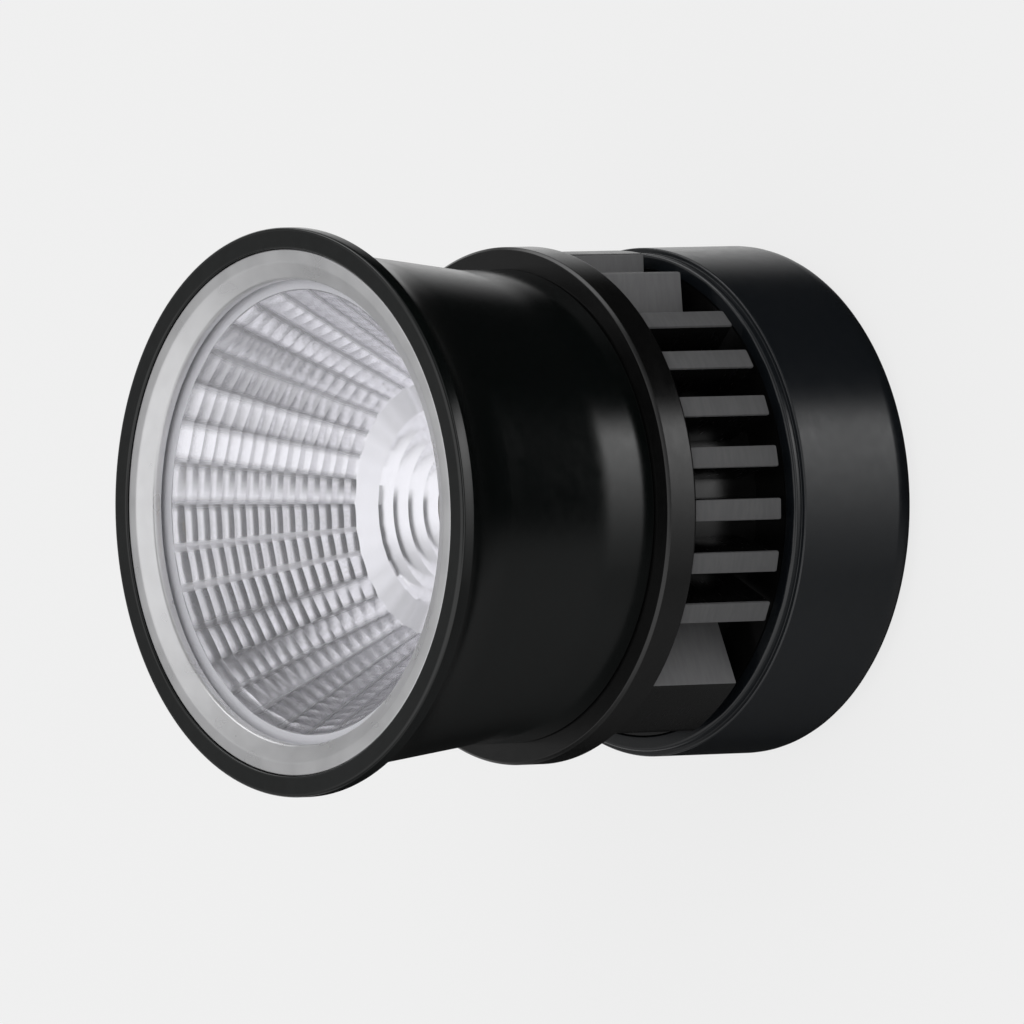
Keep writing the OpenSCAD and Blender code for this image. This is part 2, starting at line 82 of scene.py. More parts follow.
class Board:                                   # the node tree being wired
    def __init__(self, tree):
        self.tree = tree
        tree.nodes.clear()

    def node(self, kind, settings=None, inputs=None, out=0):
        made = self.tree.nodes.new(kind)
        for key, value in (settings or {}).items():
            setattr(made, key, value)
        for key, value in (inputs or {}).items():
            if isinstance(value, Sock):
                self.tree.links.new(value.socket, made.inputs[key])
            else:
                made.inputs[key].default_value = value
        return Sock(self, made.outputs[out]) if len(made.outputs) else None

    def steps(self, value, low, high, kind="SMOOTHSTEP"):   # 0 below low, 1 above high
        inputs = {"Value": value, "From Min": low, "From Max": high}
        return self.node("ShaderNodeMapRange", {"interpolation_type": kind}, inputs)

    def within(self, value, fadeIn, fadeOut):  # 1 between two fades
        return self.steps(value, *fadeIn) * (1 - self.steps(value, *fadeOut))

    def least(self, first, second):
        return self.node("ShaderNodeMath", {"operation": "MINIMUM"}, {0: first, 1: second})

    def most(self, first, second):
        return self.node("ShaderNodeMath", {"operation": "MAXIMUM"}, {0: first, 1: second})

    def fract(self, value):
        return self.node("ShaderNodeMath", {"operation": "FRACT"}, {0: value})

    def cosine(self, value):
        return self.node("ShaderNodeMath", {"operation": "COSINE"}, {0: value})

    def sine(self, value):
        return self.node("ShaderNodeMath", {"operation": "SINE"}, {0: value})

    def dot(self, vector, axis):
        inputs = {0: vector, 1: axis}
        return self.node("ShaderNodeVectorMath", {"operation": "DOT_PRODUCT"}, inputs, "Value")

    def offAxis(self, vector):                 # distance to the Z axis
        flat = self.node("ShaderNodeVectorMath", {"operation": "MULTIPLY"}, {0: vector, 1: (1, 1, 0)})
        return self.node("ShaderNodeVectorMath", {"operation": "LENGTH"}, {0: flat}, "Value")

    def blend(self, share, first, second):     # colours
        settings = {"data_type": "RGBA"}
        return self.node("ShaderNodeMix", settings, {0: share, 6: first, 7: second}, 2)

    def place(self):
        return self.node("ShaderNodeTexCoord", out="Object")

    def noise(self, scale, detail=3.0, rough=0.5, vector=None):
        inputs = {"Vector": vector or self.place(), "Scale": scale, "Detail": detail, "Roughness": rough}
        return self.node("ShaderNodeTexNoise", None, inputs)

    def bump(self, height, strength, distance):
        inputs = {"Height": height, "Strength": strength, "Distance": distance}
        return self.node("ShaderNodeBump", None, inputs)

    def surface(self, shader):
        self.node("ShaderNodeOutputMaterial", None, {"Surface": shader})


def grey(value):
    return (value, value, value, 1)


def newFinish(name):
    made = bpy.data.materials.new(name)
    made.use_nodes = True
    return made, Board(made.node_tree)


# Lacquer, moulded plastic and rubber: two close tones, grain in the gloss and a fine bump
def coatedFinish(name, dark, light, gloss, grain=900.0, grainDepth=0.02):
    made, board = newFinish(name)
    cloud = board.noise(60.0, 4.0)
    fine = board.noise(grain, 3.0, 0.6)
    colour = board.blend(board.steps(cloud * 0.6 + fine * 0.4, 0.35, 0.65), dark, light)
    rough = gloss[0] + (gloss[1] - gloss[0]) * board.steps(cloud * 0.5 + fine * 0.5, 0.3, 0.7)
    shader = board.node("ShaderNodeBsdfPrincipled", None, {
        "Base Color": colour,
        "Roughness": rough,
        "Normal": board.bump(fine, grainDepth, bumpHeight),
    })
    board.surface(shader)
    return made


# Turned, rolled or plated metal: fine lines across one axis
def metalFinish(name, dark, light, gloss, lineScale=(300.0, 300.0, 3000.0), metallic=1.0, depth=0.03):
    made, board = newFinish(name)
    stretched = board.node("ShaderNodeMapping", None, {"Vector": board.place(), "Scale": lineScale})
    lines = board.noise(1.0, 2.0, 0.5, stretched)
    cloud = board.noise(150.0, 3.0)
    mixed = lines * 0.6 + cloud * 0.4
    shader = board.node("ShaderNodeBsdfPrincipled", None, {
        "Base Color": board.blend(board.steps(mixed, 0.35, 0.65), dark, light),
        "Metallic": metallic,
        "Roughness": gloss[0] + (gloss[1] - gloss[0]) * board.steps(mixed, 0.3, 0.7),
        "Normal": board.bump(lines, depth, bumpHeight),
    })
    board.surface(shader)
    return made


# Corner points with their rounding, as a run of (radius, height) points
def roundedRun(corners, closed=True, steps=6):
    longSide = 1.0
    holdAt = 0.06                              # points this near its ends keep its shading flat
    run = []
    count = len(corners)
    for i, (r, z, rounding) in enumerate(corners):
        here = Vector((r, z))
        if rounding <= 0 or (not closed and i in (0, count - 1)):
            run.append(here)
            continue
        before = Vector(corners[i - 1][:2]) - here
        after = Vector(corners[(i + 1) % count][:2]) - here
        turn = before.angle(after)
        back = min(rounding / math.tan(turn / 2), 0.49 * before.length, 0.49 * after.length)
        radius = back * math.tan(turn / 2)
        inward = (before.normalized() + after.normalized()).normalized()
        middle = here + inward * (radius / math.sin(turn / 2))
        start = here + before.normalized() * back - middle
        end = here + after.normalized() * back - middle
        sweep = start.angle_signed(end)
        for k in range(steps + 1):
            angle = -sweep * k / steps
            spun = Vector((start.x * math.cos(angle) - start.y * math.sin(angle),
                           start.x * math.sin(angle) + start.y * math.cos(angle)))
            run.append(middle + spun)
    held = []
    for i, here in enumerate(run):
        held.append(here)
        after = run[(i + 1) % len(run)]
        length = (after - here).length
        if length > longSide and (closed or i < len(run) - 1):
            held.append(here.lerp(after, holdAt / length))
            held.append(after.lerp(here, holdAt / length))
    return [(p.x, p.y) for p in held]


def newObject(name, mesh):
    made = bpy.data.objects.new(name, mesh)
    scene.collection.objects.link(made)
    return made


def smoothShade(mesh, angle):
    mesh.polygons.foreach_set("use_smooth", [True] * len(mesh.polygons))
    mesh.set_sharp_from_angle(angle=math.radians(angle))
    mesh.update()


def meshFrom(bm, name, angle=30):
    bmesh.ops.remove_doubles(bm, verts=bm.verts, dist=1e-7)
    bmesh.ops.recalc_face_normals(bm, faces=bm.faces)
    mesh = bpy.data.meshes.new(name)
    bm.to_mesh(mesh)
    bm.free()
    smoothShade(mesh, angle)
    return mesh


# Turns a closed run of (radius, height) points round the axis
def turnedMesh(bm, run, segments, start=0.0, sweep=math.tau):
    whole = abs(sweep - math.tau) < 1e-6
    columns = segments if whole else segments + 1
    rings = []
    for r, z in run:
        if abs(r) < 1e-9:
            rings.append([bm.verts.new((0, 0, z * mm))] * columns)
            continue
        angles = [start + sweep * i / segments for i in range(columns)]
        rings.append([bm.verts.new((r * mm * math.cos(a), r * mm * math.sin(a), z * mm)) for a in angles])
    for j, ring in enumerate(rings):
        above = rings[(j + 1) % len(rings)]
        for i in range(segments):
            k = (i + 1) % columns
            corners = []
            for vert in (ring[i], ring[k], above[k], above[i]):
                if vert not in corners:
                    corners.append(vert)
            if len(corners) > 2:
                bm.faces.new(corners)
    if not whole:
        bm.faces.new([ring[0] for ring in rings])
        bm.faces.new([ring[-1] for ring in rings])


def finishPiece(obj, material, slot, *replaced):
    obj.data.materials.clear()
    obj.data.materials.append(material)
    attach(obj, "root")
    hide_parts(*replaced)
    print("piece", obj.name, len(obj.data.polygons), "faces")


# A geometry tree with named inputs: tree, board and the inputs as sockets
def newTree(name, inputs):
    tree = bpy.data.node_groups.new(name, "GeometryNodeTree")
    board = Board(tree)
    for label, kind in inputs.items():
        tree.interface.new_socket(label, in_out="INPUT", socket_type=kind)
    tree.interface.new_socket("Mesh", in_out="OUTPUT", socket_type="NodeSocketGeometry")
    entry = tree.nodes.new("NodeGroupInput")
    return tree, board, {label: Sock(board, entry.outputs[label]) for label in inputs}


def endTree(board, geometry, material):
    solid = board.node("GeometryNodeRealizeInstances", None, {"Geometry": geometry})
    dressed = board.node("GeometryNodeSetMaterial", None, {"Geometry": solid, "Material": material})
    board.node("NodeGroupOutput", None, {"Mesh": dressed})


def grownMesh(name, tree, values):
    holder = newObject(name, bpy.data.meshes.new(name))
    grow = holder.modifiers.new("grow", "NODES")
    grow.node_group = tree
    for item in tree.interface.items_tree:
        if item.in_out == "INPUT":
            grow[item.identifier] = values[item.name]
    graph = bpy.context.evaluated_depsgraph_get()
    mesh = bpy.data.meshes.new_from_object(holder.evaluated_get(graph))
    holder.modifiers.remove(grow)
    bpy.data.objects.remove(holder)
    mesh.name = name
    return mesh


# Camera: long lens, rolled so that the part's axis lies across the picture
lens = {
    "tilt": 51.71,                             # degrees between the axis and the line of sight
    "roll": 0.029,                             # radians
    "focus": (0.0, 0.0, 53.5),
    "right": 19.775,
    "up": 0.05,
    "away": 1900.0,
    "length": 762.0,
}
tilt = math.radians(lens["tilt"])
sight = Vector((0, math.sin(tilt), -math.cos(tilt)))
level = Vector((0, -math.cos(tilt), -math.sin(tilt)))
upright = Vector((1, 0, 0))
right = level * math.cos(lens["roll"]) - upright * math.sin(lens["roll"])
up = upright * math.cos(lens["roll"]) + level * math.sin(lens["roll"])
eye = (Vector(lens["focus"]) + right * lens["right"] + up * lens["up"] - sight * lens["away"]) * mm
cameraData = bpy.data.cameras.new("camera")
cameraData.lens = lens["length"]
cameraData.sensor_width = 36.0
cameraData.clip_end = 20.0
camera = bpy.data.objects.new("camera", cameraData)
turned = Matrix((right, up, -sight)).transposed().to_4x4()
turned.translation = eye
camera.matrix_world = turned
scene.collection.objects.link(camera)
scene.camera = camera

# Studio: pale floor, pale sky with a few soft panels that only the gloss sees, one soft lamp
studio = {
    "pale": 0.863,
    "floorShade": 0.1,                         # share of the floor that takes the shadow
    "skyLight": 0.78,
    "lampWatts": 2.2,
    "lampPlace": (0.55, -0.35, 0.95),
    "lampSize": 0.7,
    "floorReach": 6.0,
    "floorDown": 0.02,                         # keeps the floor and the rear face out of one plane
}

# What the gloss sees of the studio, by the direction it looks in
sheen = {
    "near": 1.18,                              # upper half, on the near side
    "far": (0.3, 0.65),                        # on the far side: low down, and what it gains overhead
    "eastLoss": 0.52,
    "westLoss": 0.55,
    "dashLoss": 0.86,                          # the dark strip that draws a dash in each facet
    "facedOffLoss": 0.5,                       # behind the faces that lie square to the axis
    "edgeGain": 2.2,                           # on the front edges of ring, cap and flange
    "edgeLoss": 0.6,
    "lowSide": 0.21,
    "farStrip": 0.85,                          # along the top of barrel and cap
    "farLow": 0.55,
    "panel": (0.35, 2.7, 1.6),                 # band across barrel, ring and cap: least, gain and its curve
    "ground": 0.013,
}

scene.view_settings.view_transform = "Standard"
sky = bpy.data.worlds.new("studio")
sky.use_nodes = True
scene.world = sky
board = Board(sky.node_tree)
view = board.node("ShaderNodeTexCoord", out="Generated")
east = board.dot(view, (1, 0, 0))
north = board.dot(view, (0, 1, 0))
high = board.dot(view, (0, 0, 1))
glossy = board.most(board.node("ShaderNodeLightPath", out="Is Glossy Ray"),
                    board.node("ShaderNodeLightPath", out="Is Transmission Ray"))
cameraRay = board.node("ShaderNodeLightPath", out="Is Camera Ray")
west = 0 - east
far = board.steps(north, 0.1, 0.6)
farLeast, farGain = sheen["far"]
farTone = farLeast + board.steps(high, 0.3, 1.0, "LINEAR") * farGain
upper = sheen["near"] + (farTone - sheen["near"]) * far
upper = upper * (1 - board.steps(east, 0.2, 0.9) * sheen["eastLoss"])
upper = upper * (1 - board.steps(west, 0.6, 1.0) * sheen["westLoss"])
ridge = high + north * 0.32 - 0.115            # 0 along the line that the bowl's middle reflects
dashes = board.within(ridge, (-0.04, 0.06), (0.38, 0.52)) * board.steps(east, -0.42, -0.1)
dashes = dashes * (1 - far) * (1 - board.steps(north, 0.0, 0.35))
upper = upper * (1 - dashes * sheen["dashLoss"])
facedOff = board.steps(north, 0.6, 0.74) * (1 - board.steps(east * east, 0.02, 0.16))
facedOff = facedOff * board.steps(high, 0.48, 0.58)
upper = upper * (1 - facedOff * sheen["facedOffLoss"])
edges = high + north * 0.6                     # over 0.4 only those front edges reflect
onEdges = board.within(edges, (0.4, 0.5), (0.68, 0.8)) * (1 - board.steps(high, 0.52, 0.6))
upper = upper + onEdges * board.steps(east, 0.6, 0.8) * sheen["edgeGain"]
upper = upper * (1 - onEdges * board.steps(west, 0.55, 0.8) * sheen["edgeLoss"])
lowSide = board.steps(west, 0.0, 0.3) * (1 - board.steps(north, -0.4, 0.62, "LINEAR")) * sheen["lowSide"]
farStrip = board.steps(north, 0.35, 0.8) * board.steps(east, 0.0, 0.16) * sheen["farStrip"]
farStrip = farStrip * board.steps(high, -0.79, -0.65)
farLow = board.steps(north, 0.4, 0.75) * board.steps(high, -0.5, -0.35) * sheen["farLow"]
panelLeast, panelGain, panelCurve = sheen["panel"]
rise = panelLeast + board.steps(east, -0.35, 0.42, "LINEAR") ** panelCurve * panelGain
panel = board.within(east, (-0.5, -0.35), (0.38, 0.58)) * rise
panel = panel * board.within(high, (-0.72, -0.66), (-0.5, -0.3)) * (1 - board.steps(north, -0.3, 0.0))
lower = board.most(board.most(lowSide, farStrip), board.most(farLow, panel)) + sheen["ground"]
tone = lower + (upper - lower) * board.steps(high, -0.2, 0.0)
plain = cameraRay * studio["pale"] + (1 - cameraRay) * studio["skyLight"]
strength = glossy * tone + (1 - glossy) * plain
background = board.node("ShaderNodeBackground", None, {"Color": grey(1.0), "Strength": strength})
board.node("ShaderNodeOutputWorld", None, {"Surface": background})

floorFinish, board = newFinish("floorPaper")
cameraRay = board.node("ShaderNodeLightPath", out="Is Camera Ray")
glossy = board.node("ShaderNodeLightPath", out="Is Glossy Ray")
through = board.node("ShaderNodeLightPath", out="Is Transmission Ray")
shown = board.most(board.most(cameraRay, glossy), through)
paper = board.noise(40.0, 2.0)
floorGreys = grey(studio["floorShade"]), grey(studio["floorShade"] * 0.98)
shade = board.blend(board.steps(paper, 0.3, 0.7), *floorGreys)
shadeOnly = board.node("ShaderNodeBsdfDiffuse", None, {"Color": shade})
glow = board.node("ShaderNodeEmission", None, {
    "Color": grey(1.0), "Strength": studio["pale"] - studio["floorShade"] * 0.82})
shownFloor = board.node("ShaderNodeAddShader", None, {0: shadeOnly, 1: glow})
plainFloor = board.node("ShaderNodeBsdfDiffuse", None, {"Color": grey(0.8)})
board.surface(board.node("ShaderNodeMixShader", None, {0: shown, 1: plainFloor, 2: shownFloor}))
floorMesh = bpy.data.meshes.new("floor")
reach = studio["floorReach"]
corners = [(-reach, -reach), (reach, -reach), (reach, reach), (-reach, reach)]
floorMesh.from_pydata([(x, y, -studio["floorDown"] * mm) for x, y in corners], [], [(0, 1, 2, 3)])
floorMesh.materials.append(floorFinish)
floor = newObject("floor", floorMesh)
floor.visible_glossy = False                   # the sky shows the gloss its ground, with the panels
lampData = bpy.data.lights.new("softLamp", "AREA")
lampData.energy = studio["lampWatts"]
lampData.size = studio["lampSize"]
lamp = bpy.data.objects.new("softLamp", lampData)
lamp.location = studio["lampPlace"]
lamp.rotation_euler = (-Vector(studio["lampPlace"])).to_track_quat("-Z", "Y").to_euler()
lamp.visible_glossy = False
scene.collection.objects.link(lamp)
print("studio ready")

# Finishes
barrelBlack = coatedFinish(
    "barrelBlack", (0.0011, 0.0019, 0.0018, 1), (0.0018, 0.0027, 0.0026, 1), (0.16, 0.22))
capBlack = coatedFinish(
    "capBlack", (0.0052, 0.0066, 0.0084, 1), (0.0062, 0.0076, 0.0094, 1), (0.2, 0.27))
ringClear = metalFinish(
    "ringClear", (0.57, 0.57, 0.58, 1), (0.63, 0.63, 0.64, 1), (0.26, 0.34), (300.0, 300.0, 900.0), 0.65)

# Sink: black body, with grey where it was turned last (the fins' ends and the windows' flanks)
sink = {
    "turnedFrom": 22.2,                        # radius from which a fin's end is bare grey
    "lineScale": (500.0, 500.0, 2600.0),
    "black": grey(0.003),
    "ends": ((0.072, 0.072, 0.074, 1), (0.084, 0.084, 0.086, 1)),
    "flanks": ((0.12, 0.12, 0.123, 1), (0.135, 0.135, 0.138, 1)),
}


def sinkFinish(name, mask, greys):
    made, board = newFinish(name)
    stretched = board.node("ShaderNodeMapping", None, {"Vector": board.place(), "Scale": sink["lineScale"]})
    lines = board.noise(1.0, 2.0, 0.5, stretched)
    bare = mask(board)
    tint = board.blend(board.steps(lines, 0.3, 0.7), *greys)
    shader = board.node("ShaderNodeBsdfPrincipled", None, {
        "Base Color": board.blend(bare, sink["black"], tint),
        "Roughness": 0.22 + bare * 0.4 + lines * 0.08,
        "Normal": board.bump(lines, 0.05, bumpHeight),
    })
    board.surface(shader)
    return made


def endsMask(board):
    away = board.offAxis(board.place())
    return board.steps(away, sink["turnedFrom"] * mm, (sink["turnedFrom"] + 0.06) * mm)


def flankMask(board):
    return board.node("ShaderNodeAttribute", {"attribute_name": "turned"}, out="Fac")


finFinish = sinkFinish("finFinish", endsMask, sink["ends"])
pillarFinish = sinkFinish("pillarFinish", flankMask, sink["flanks"])
sinkBlack = coatedFinish("sinkBlack", grey(0.0025), grey(0.004), (0.18, 0.26))

# Barrel: a waisted tube that flares to the flange
barrel = {
    "rear": 28.85,
    "front": 53.5,
    "rim": 52.2,
    "bandEnd": 34.5,                           # the rear band is straight, then the cone begins
    "bandSoft": 16.0,                          # rounding between band and cone
    "coneEnd": 46.0,
    "endRadius": 20.95,
    "neckRadius": 22.45,
    "flangeRadius": 25.0,
    "flangeEdge": 0.35,
    "rimEdge": 0.25,
    "mouthEdge": 0.2,
    "boreEdge": 0.1,
    "rearEdge": 0.25,
    "mouthRadius": 23.15,
    "seat": (22.3, 51.7, 50.2),                # radius, front and end
    "bore": (20.75, 18.6, 33.0),               # radius in front and behind, and where the cone ends
    "flareSteps": 16,
    "segments": 240,
}


def barrelRun():
    b = barrel
    neck = Vector((b["neckRadius"], b["coneEnd"]))
    cone = neck - Vector((b["endRadius"], b["bandEnd"]))
    across = Vector((cone.y, -cone.x)).normalized()
    chord = Vector((b["flangeRadius"], b["rim"])) - neck
    flareRadius = chord.dot(chord) / (2 * chord.dot(across))
    middle = neck + across * flareRadius
    first = math.atan2(neck.y - middle.y, neck.x - middle.x) % math.tau
    last = math.atan2(b["rim"] - middle.y, b["flangeRadius"] - middle.x) % math.tau
    flare = []
    for i in range(b["flareSteps"]):
        a = first + (last - first) * i / b["flareSteps"]
        flare.append((middle.x + flareRadius * math.cos(a), middle.y + flareRadius * math.sin(a), 0))
    seatRadius, seatTop, seatEnd = b["seat"]
    frontBore, rearBore, boreEnd = b["bore"]
    return roundedRun([(b["endRadius"], b["bandEnd"], b["bandSoft"])] + flare + [
        (b["flangeRadius"], b["rim"], b["rimEdge"]),
        (b["flangeRadius"], b["front"], b["flangeEdge"]),
        (b["mouthRadius"], b["front"], b["mouthEdge"]),
        (b["mouthRadius"], seatTop, 0),
        (seatRadius, seatTop, 0),
        (seatRadius, seatEnd, 0),
        (frontBore, seatEnd, 0),
        (rearBore, boreEnd, 0),
        (rearBore, b["rear"], b["boreEdge"]),
        (b["endRadius"], b["rear"], b["rearEdge"]),
    ])


bm = bmesh.new()
turnedMesh(bm, barrelRun(), barrel["segments"])
barrelShell = newObject("barrelShell", meshFrom(bm, "barrelShell", 25))
finishPiece(barrelShell, barrelBlack, "barrel_black", "barrel")

# Retaining ring
bezel = {
    "outer": 23.1,
    "inner": 20.4,
    "base": 51.7,
    "top": 53.3,
    "land": 1.1,                               # width of the flat top
    "lip": 0.8,                                # height of the inner wall
    "baseEdge": 0.05,
    "outerEdge": 0.15,
    "landEdge": 0.6,
    "lipEdge": 0.45,
    "segments": 240,
}
bm = bmesh.new()
turnedMesh(bm, roundedRun([
    (bezel["inner"], bezel["base"], bezel["baseEdge"]),
    (bezel["outer"], bezel["base"], bezel["baseEdge"]),
    (bezel["outer"], bezel["top"], bezel["outerEdge"]),
    (bezel["outer"] - bezel["land"], bezel["top"], bezel["landEdge"]),
    (bezel["inner"], bezel["base"] + bezel["lip"], bezel["lipEdge"]),
]), bezel["segments"])
bezelRing = newObject("bezelRing", meshFrom(bm, "bezelRing", 40))
finishPiece(bezelRing, ringClear, "ring_clear", "retaining_ring")

# Cover glass, clear of the reflector's rim and of the ring by a hair
glass = {
    "radius": 22.2,
    "base": 51.23,
    "top": 51.67,
    "edge": 0.1,
    "tint": (0.97, 0.97, 0.98, 1),
    "gleam": (0.035, 0.9, 5.0),                # mirror share: least, gain at a low angle, and its curve
    "segments": 180,
}


def glassFinish():
    made, board = newFinish("coverGlass")
    smear = board.steps(board.noise(120.0, 4.0), 0.45, 0.75)
    gleam = board.node("ShaderNodeBsdfPrincipled", None, {
        "Base Color": board.blend(smear, grey(0.96), grey(0.9)),
        "Metallic": 1.0,
        "Roughness": 0.02 + smear * 0.04,
    })
    facing = board.node("ShaderNodeLayerWeight", None, {"Blend": 0.5}, "Facing")
    least, gain, curve = glass["gleam"]
    share = least + facing ** curve * gain + smear * 0.01
    clear = board.node("ShaderNodeBsdfTransparent", None, {"Color": glass["tint"]})
    board.surface(board.node("ShaderNodeMixShader", None, {0: share, 1: clear, 2: gleam}))
    return made


bm = bmesh.new()
turnedMesh(bm, roundedRun([
    (0.0, glass["base"], 0),
    (glass["radius"], glass["base"], glass["edge"]),
    (glass["radius"], glass["top"], glass["edge"]),
    (0.0, glass["top"], 0),
]), glass["segments"])
finishPiece(newObject("coverPane", meshFrom(bm, "coverPane")), glassFinish(), "cover_clear", "cover_glass")

# Reflector: rows of hollow facets round a bowl, a plain shoulder and a short faceted throat
bowl = {
    "columns": 32,
    "turn": -3.0,                              # degrees to the first line between columns
    "acrossSteps": 4,
    "alongSteps": 6,
    "rows": 15,
    "throatRows": 4,
    "top": (19.55, 51.2),
    "end": (11.3, 37.1),
    "throatTop": (8.9, 36.35),
    "throatEnd": (4.9, 32.75),
    "rimRadius": 22.2,
    "rimBase": 50.2,
    "wall": 1.2,
    "hollow": 0.055,                           # depth of a facet along its row's height
    "crown": 0.08,                             # swell of a facet across its width
    "throatHollow": 0.08,
    "throatCrown": -0.033,                     # rounds the throat's columns off
    "weld": 0.003,
    "paintedShade": (0.48, 1.0),                       # where the painted shade line between columns fades in, 1 is the line
    "paintedShadeDepth": 0.42,
    "pale": (0.62, 1.0),                       # the same for the pale lines
    "paleHaze": 0.32,                          # roughness that they add
    "paleAt": (103.5, 7.0, 14.0),              # degrees: middle, where they end, where the painted shade lines begin
    "silver": ((0.93, 0.926, 0.942, 1), (0.96, 0.956, 0.972, 1)),
    # painted shade: the colour that darkens the lines between the columns, in place of their dark
    # reflections
    "paintedShadeTone": (0.08, 0.08, 0.085, 1),
    "rimTone": (0.9, 0.9, 0.915, 1),
}


# Bright metal, a satin rim, and a line between the columns of facets: painted shade on most, a hazier pale
# line on a few
def silverFinish():
    made, board = newFinish("reflectorSilver")
    cloud = board.steps(board.noise(200.0, 3.0), 0.35, 0.65)
    place = board.place()
    away = board.offAxis(place)
    rim = board.steps(away, (bowl["top"][0] + 0.02) * mm, (bowl["top"][0] + 0.06) * mm)
    inBowl = board.steps(board.dot(place, (0, 0, 1)), bowl["end"][1] * mm, (bowl["end"][1] + 0.1) * mm)
    seam = board.node("ShaderNodeAttribute", {"attribute_name": "seam"}, out="Fac")
    # painted shade along the lines between the columns
    paintedShade = board.steps(seam, *bowl["paintedShade"]) * inBowl * (1 - rim)
    pale = board.steps(0 - seam, *bowl["pale"]) * inBowl * (1 - rim)
    silver = board.blend(cloud, *bowl["silver"])
    silver = board.blend(paintedShade * bowl["paintedShadeDepth"], silver, bowl["paintedShadeTone"])
    shader = board.node("ShaderNodeBsdfPrincipled", None, {
        "Base Color": board.blend(rim, silver, bowl["rimTone"]),
        "Metallic": 1 - rim * 0.75,
        "Roughness": 0.15 + cloud * 0.04 + rim * 0.3 + paintedShade * 0.12 + pale * bowl["paleHaze"],
        "Normal": board.bump(cloud, 0.01, bumpHeight),
    })
    board.surface(shader)
    return made


reflectorSilver = silverFinish()

facetTree, board, given = newTree("facets", {
    "Columns": "NodeSocketInt",
    "Rows": "NodeSocketInt",
    "Across": "NodeSocketInt",
    "Along": "NodeSocketInt",
    "Radius 1": "NodeSocketFloat",
    "Radius 2": "NodeSocketFloat",
    "Height 1": "NodeSocketFloat",
    "Height 2": "NodeSocketFloat",
    "Hollow": "NodeSocketFloat",
    "Crown": "NodeSocketFloat",
    "Turn": "NodeSocketFloat",
    "Material": "NodeSocketMaterial",
})
sheet = board.node("GeometryNodeMeshGrid", None, {
    "Size X": 1.0,
    "Size Y": 1.0,
    "Vertices X": given["Columns"] * given["Across"] + 1,
    "Vertices Y": given["Rows"] * given["Along"] + 1,
})
spot = board.node("GeometryNodeInputPosition")
column = (board.dot(spot, (1, 0, 0)) + 0.5) * given["Columns"]
share = board.dot(spot, (0, 1, 0)) + 0.5
acrossCell = board.fract(column + 1e-4) - 0.5
alongCell = board.fract(share * given["Rows"] + 1e-4) * 2 - 1
pitch = math.tau / given["Columns"]
flatten = board.cosine(pitch * 0.5) / board.cosine(acrossCell * pitch)
radius = given["Radius 1"] + (given["Radius 2"] - given["Radius 1"]) * share
crown = given["Crown"] * (1 - acrossCell * acrossCell * 4) * board.least(1, (1 - share) * given["Rows"])
hollow = given["Hollow"] * (1 - alongCell * alongCell)
radius = radius * flatten + hollow - crown
angle = given["Turn"] + column * pitch
placed = board.node("ShaderNodeCombineXYZ", None, {
    "X": radius * board.cosine(angle),
    "Y": radius * board.sine(angle),
    "Z": given["Height 1"] + (given["Height 2"] - given["Height 1"]) * share,
})
bent = board.node("GeometryNodeSetPosition", None, {"Geometry": sheet, "Position": placed})
joined = board.node("GeometryNodeMergeByDistance", None, {"Geometry": bent, "Distance": 1e-6})
endTree(board, joined, given["Material"])


def facetMesh(name, rows, start, end, hollow, crown):
    return grownMesh(name, facetTree, {
        "Columns": bowl["columns"],
        "Rows": rows,
        "Across": bowl["acrossSteps"],
        "Along": bowl["alongSteps"],
        "Radius 1": start[0] * mm,
        "Radius 2": end[0] * mm,
        "Height 1": start[1] * mm,
        "Height 2": end[1] * mm,
        "Hollow": hollow * mm,
        "Crown": crown * mm,
        "Turn": math.radians(bowl["turn"]),
        "Material": reflectorSilver,
    })


bm = bmesh.new()
bowlMesh = facetMesh("bowlFacets", bowl["rows"], bowl["end"], bowl["top"], bowl["hollow"], bowl["crown"])
throatMesh = facetMesh("throatFacets", bowl["throatRows"], bowl["throatEnd"], bowl["throatTop"],
                       bowl["throatHollow"], bowl["throatCrown"])
bm.from_mesh(bowlMesh)
bm.from_mesh(throatMesh)
bmesh.ops.remove_doubles(bm, verts=bm.verts, dist=bowl["weld"] * mm)


# Loop of a facet sheet's border at one height, in order round the axis
def borderAt(bm, height):
    ring = [v for v in bm.verts if abs(v.co.z - height * mm) < 1e-6 and v.is_boundary]
    return sorted(ring, key=lambda v: math.atan2(v.co.y, v.co.x))


def bridgeRings(bm, lower, upper):
    for i in range(len(lower)):
        k = (i + 1) % len(lower)
        bm.faces.new((lower[i], lower[k], upper[k], upper[i]))


def ringLike(bm, ring, radius, height):
    made = []
    for v in ring:
        flat = Vector((v.co.x, v.co.y, 0)).normalized() * radius * mm
        made.append(bm.verts.new((flat.x, flat.y, height * mm)))
    return made


bowlTop = borderAt(bm, bowl["top"][1])
bowlEnd = borderAt(bm, bowl["end"][1])
throatTop = borderAt(bm, bowl["throatTop"][1])
throatEnd = borderAt(bm, bowl["throatEnd"][1])
outside = [
    (bowl["rimRadius"], bowl["top"][1]),
    (bowl["rimRadius"], bowl["rimBase"]),
    (bowl["top"][0] + bowl["wall"] - 0.6, bowl["rimBase"]),
    (bowl["end"][0] + bowl["wall"], bowl["end"][1]),
    (bowl["throatTop"][0] + bowl["wall"], bowl["throatTop"][1]),
    (bowl["throatEnd"][0] + bowl["wall"], bowl["throatEnd"][1]),
]
bridgeRings(bm, throatTop, bowlEnd)
last = bowlTop
for radiusOut, heightOut in outside:
    ring = ringLike(bm, bowlTop, radiusOut, heightOut)
    bridgeRings(bm, last, ring)
    last = ring
bridgeRings(bm, last, throatEnd)
